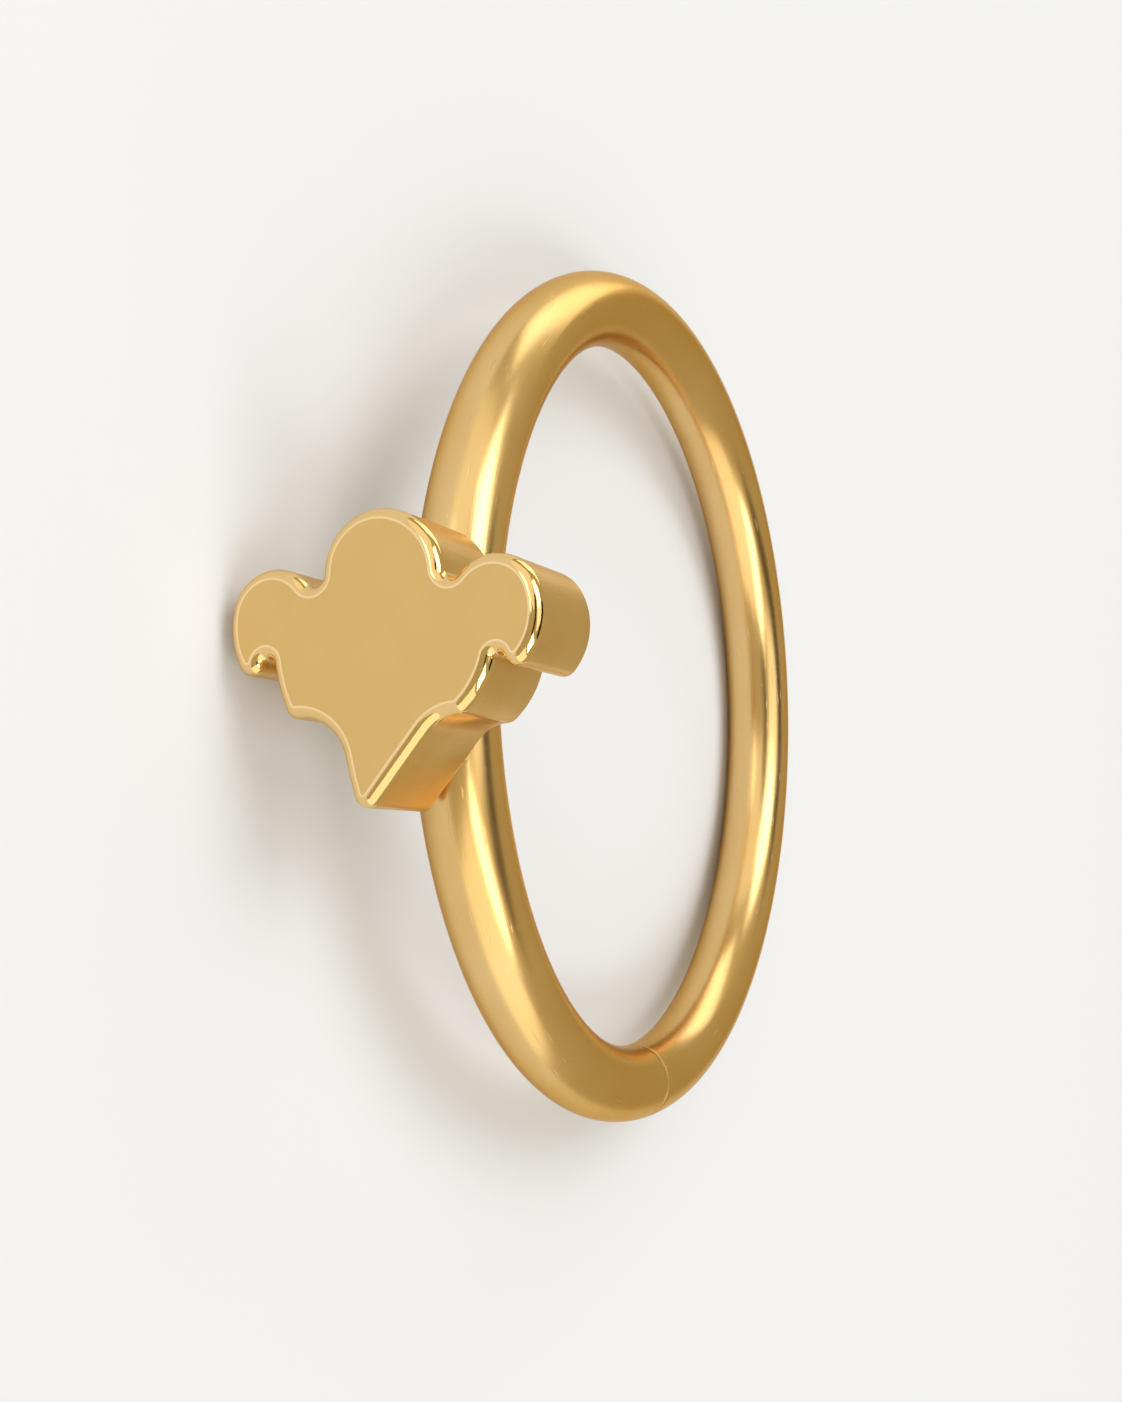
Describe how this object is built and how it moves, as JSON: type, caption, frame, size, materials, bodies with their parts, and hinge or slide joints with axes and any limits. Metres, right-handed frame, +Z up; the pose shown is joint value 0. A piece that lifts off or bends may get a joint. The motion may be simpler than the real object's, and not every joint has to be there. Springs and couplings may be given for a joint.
{
  "type": "piercing ring",
  "caption": "Small round-wire piercing hoop with a butted seam and a flat lobed palmette charm soldered to its outside, worn through the tragus of the ear.",
  "frame": {"origin": "on the surface that the ring lies on, below the middle of its bounding box", "axes": "+Z up from the surface, with the ring lying on its side on its far rim and one lobe of the charm; the charm faces -Y, and its point lies towards +X"},
  "size_m": [0.0096, 0.0108, 0.0032],
  "materials": {
    "gold": "mirror-polished yellow gold plate"
  },
  "bodies": {
    "root": {"tragus_ring": "gold"}
  },
  "joints": []
}
